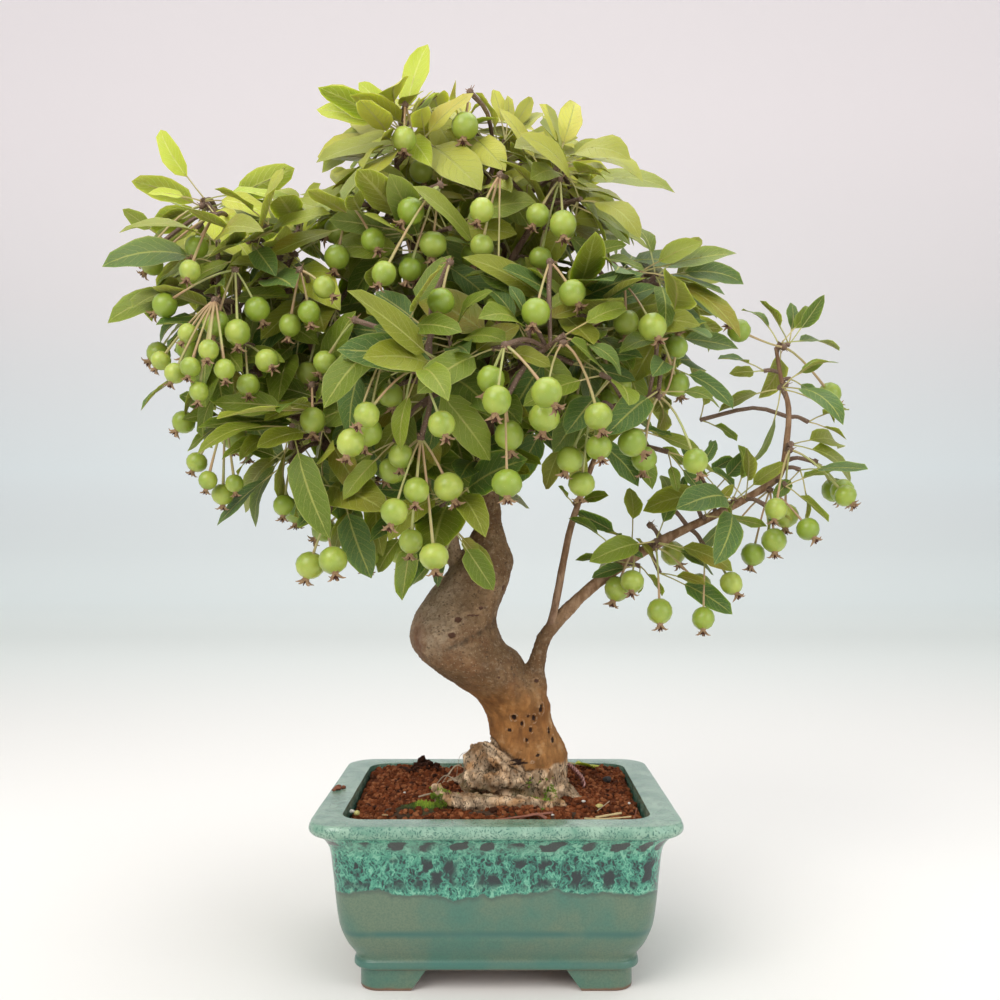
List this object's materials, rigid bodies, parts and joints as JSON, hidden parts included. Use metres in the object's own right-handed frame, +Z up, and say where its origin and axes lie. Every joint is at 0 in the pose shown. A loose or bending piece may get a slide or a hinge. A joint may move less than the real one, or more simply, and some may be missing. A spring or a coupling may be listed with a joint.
{
  "type": "crabapple bonsai tree in a pot",
  "caption": "Hall crabapple bonsai with a curved trunk, spreading limbs, leafy crown and hanging green fruits, in a footed oblong pot with a blue-green drip glaze.",
  "frame": {"origin": "centre of the pot's footprint, on the surface that its feet stand on", "axes": "+Z up along the tree's height, +X to the right and -Y to the front, as seen from the front"},
  "size_m": [0.4826, 0.3019, 0.5926],
  "materials": {
    "glaze": "gloss",
    "soil": "matte",
    "moss": "matte",
    "screen": "matte",
    "wire": "satin",
    "bark": "matte",
    "leaf": "satin",
    "young_leaf": "satin",
    "fallen_leaf": "matte",
    "fruit": "satin"
  },
  "bodies": {
    "root": {"pot": "glaze", "soil": "soil", "moss_left": "moss", "moss_front": "moss", "drain_screen_left": "screen", "drain_screen_right": "screen", "tie_wire": "wire", "fallen_leaf": "fallen_leaf", "trunk_and_limbs": "bark", "spray_01": "young_leaf", "spray_02": "leaf", "spray_03": "leaf", "spray_04": "leaf", "spray_05": "leaf", "spray_06": "leaf", "spray_07": "young_leaf", "spray_08": "young_leaf", "spray_09": "leaf", "spray_10": "leaf", "spray_11": "leaf", "spray_12": "leaf", "spray_13": "leaf", "spray_14": "leaf", "spray_15": "leaf", "spray_16": "leaf", "spray_17": "leaf", "spray_18": "leaf", "spray_19": "leaf", "spray_20": "leaf", "spray_21": "leaf", "spray_22": "leaf", "spray_23": "leaf", "spray_24": "leaf", "spray_25": "leaf", "spray_26": "leaf", "spray_27": "leaf", "spray_28": "leaf", "spray_29": "leaf", "spray_30": "leaf", "spray_31": "leaf", "spray_32": "leaf", "spray_33": "leaf", "spray_34": "leaf", "fruits_01": "fruit", "fruits_02": "fruit", "fruits_03": "fruit", "fruits_04": "fruit", "fruits_05": "fruit", "fruits_06": "fruit", "fruits_07": "fruit", "fruits_08": "fruit", "fruits_09": "fruit", "fruits_10": "fruit", "fruits_11": "fruit", "fruits_12": "fruit", "fruits_13": "fruit", "fruits_14": "fruit", "fruits_15": "fruit", "fruits_16": "fruit", "fruits_17": "fruit"}
  },
  "joints": []
}
